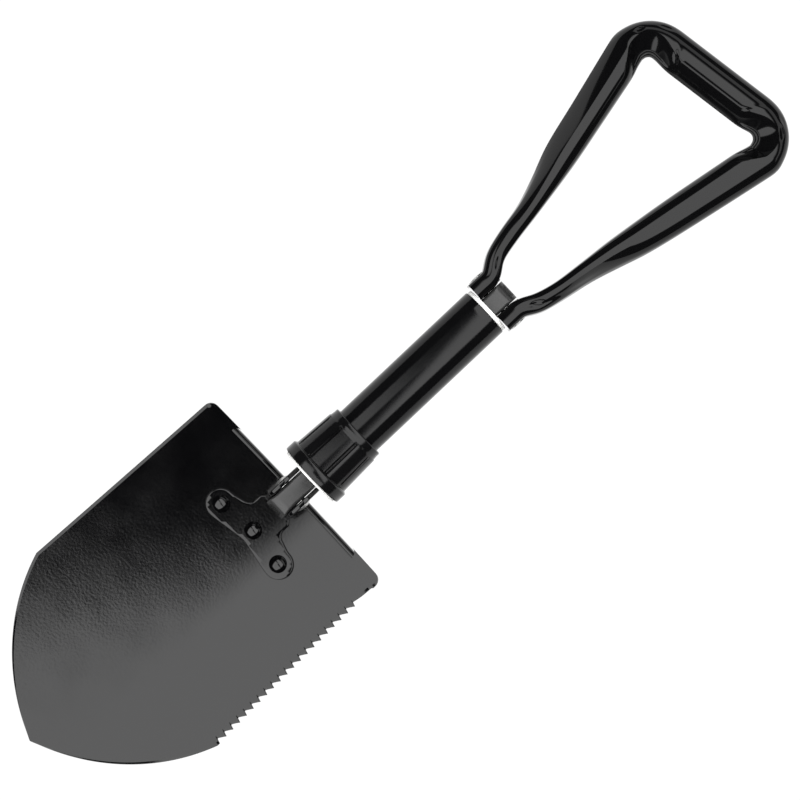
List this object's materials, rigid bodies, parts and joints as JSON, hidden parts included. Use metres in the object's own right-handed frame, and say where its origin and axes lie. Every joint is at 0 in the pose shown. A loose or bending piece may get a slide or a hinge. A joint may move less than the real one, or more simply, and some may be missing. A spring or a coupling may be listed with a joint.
{
  "type": "folding camp shovel",
  "caption": "Folding shovel: dished pointed blade with one serrated edge, screw-locked sleeve shaft and bent-tube D-handle; blade and grip fold to pack small.",
  "frame": {"origin": "middle of the open shovel's footprint, on the surface that its foot step touches as it lies on its back", "axes": "+X up the shaft from blade to grip, +Y to the plain-edge side of the blade, +Z out of the blade's dished face"},
  "size_m": [0.578, 0.1556, 0.0537],
  "materials": {
    "black_enamel": "gloss black enamel with fine orange peel",
    "satin_black": "satin black enamel",
    "grey_steel": "satin dark grey coating",
    "pin_steel": "zinc plated",
    "white_nylon": "smooth white nylon",
    "black_polymer": "moulded black polymer"
  },
  "bodies": {
    "shaft": {"core_channel": "grey_steel", "blade_hinge_pin": "pin_steel", "handle_hinge_pin": "pin_steel", "blade_pin_spacer": "pin_steel", "handle_pin_spacer": "pin_steel"},
    "blade": {"blade": "black_enamel", "blade_bracket": "black_enamel", "rivet_left": "black_enamel", "rivet_middle": "black_enamel", "rivet_right": "black_enamel"},
    "handle": {"handle": "satin_black"},
    "sleeve": {"sleeve_tube": "satin_black", "guide_ring": "white_nylon", "guide_bush": "white_nylon", "threaded_ferrule": "pin_steel"},
    "washer": {"thrust_washer": "white_nylon"},
    "collar": {"collar_nut": "black_polymer"}
  },
  "joints": [
    {"name": "blade_fold", "type": "hinge", "parent": "shaft", "child": "blade", "pos_m": [-0.07449, 0, 0.032], "axis": [0, 1, 0], "range_deg": [0, 172]},
    {"name": "handle_fold", "type": "hinge", "parent": "shaft", "child": "handle", "pos_m": [0.09111, 0, 0.032], "axis": [0, 1, 0], "range_deg": [0, 160]},
    {"name": "sleeve_slide", "type": "slide", "parent": "shaft", "child": "sleeve", "axis": [-1, 0, 0], "range_m": [0, 0.0245]},
    {"name": "washer_lift", "type": "slide", "parent": "shaft", "child": "washer", "axis": [1, 0, 0], "range_m": [0, 0.0025]},
    {"name": "collar_spin", "type": "hinge", "parent": "washer", "child": "collar", "pos_m": [-0.04449, 0, 0.032], "axis": [1, 0, 0], "range_deg": [0, 360]}
  ],
  "couplings": [
    {"joint": "sleeve_slide", "follows": "handle_fold", "m_per_rad": 0.00877},
    {"joint": "washer_lift", "follows": "collar_spin", "m_per_rad": 0.000397}
  ]
}
